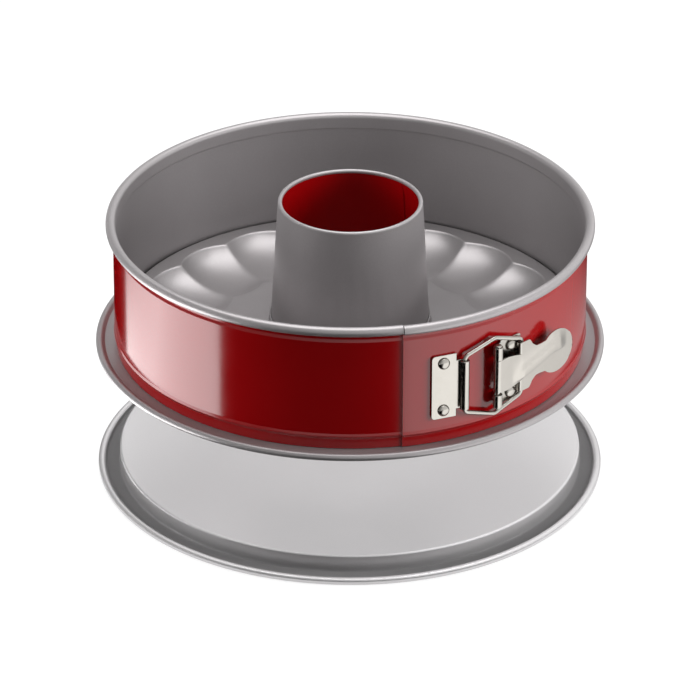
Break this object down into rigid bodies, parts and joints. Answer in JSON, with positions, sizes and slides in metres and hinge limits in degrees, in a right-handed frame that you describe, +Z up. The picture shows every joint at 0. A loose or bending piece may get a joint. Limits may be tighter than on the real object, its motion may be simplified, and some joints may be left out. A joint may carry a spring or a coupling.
{
  "type": "savarin mould",
  "caption": "Springform cake tin with a latched red ring, a fluted base with a centre tube, and a spare flat base below it.",
  "frame": {"origin": "floor level under the centre of the flat base", "axes": "+Z up along the tin's axis, -Y to the front, with the latch on the front right"},
  "size_m": [0.273, 0.273, 0.1574],
  "materials": {
    "red_coating": "glossy",
    "grey_nonstick": "satin",
    "pale_nonstick": "satin",
    "latch_steel": "bright zinc plate"
  },
  "bodies": {
    "flat_base": {"flat_base": "pale_nonstick"},
    "pan": {"savarin_base": "grey_nonstick", "centre_tube": "grey_nonstick"},
    "ring": {"ring_band": "red_coating", "hinge_plate": "latch_steel", "hinge_rivet_upper": "latch_steel", "hinge_rivet_lower": "latch_steel", "lever_bracket": "latch_steel", "bracket_rivet_upper": "latch_steel", "bracket_rivet_lower": "latch_steel", "lever_pin": "latch_steel"},
    "bail": {"wire_bail": "latch_steel"},
    "lever": {"lever": "latch_steel"}
  },
  "joints": [
    {"name": "pan_lift", "type": "slide", "parent": "flat_base", "child": "pan", "axis": [0, 0, 1], "range_m": [0, 0.12]},
    {"name": "ring_lift", "type": "slide", "parent": "pan", "child": "ring", "axis": [0, 0, 1], "range_m": [0, 0.11]},
    {"name": "lever_swing", "type": "hinge", "parent": "ring", "child": "lever", "pos_m": [0.07671, -0.10754, 0.1091], "axis": [0, 0, -1], "range_deg": [0, 110]},
    {"name": "bail_swing", "type": "hinge", "parent": "ring", "child": "bail", "pos_m": [0.05931, -0.11591, 0.1091], "axis": [0, 0, -1], "range_deg": [0, 30]}
  ],
  "couplings": [
    {"joint": "bail_swing", "follows": "lever_swing", "ratio": 0.27}
  ]
}
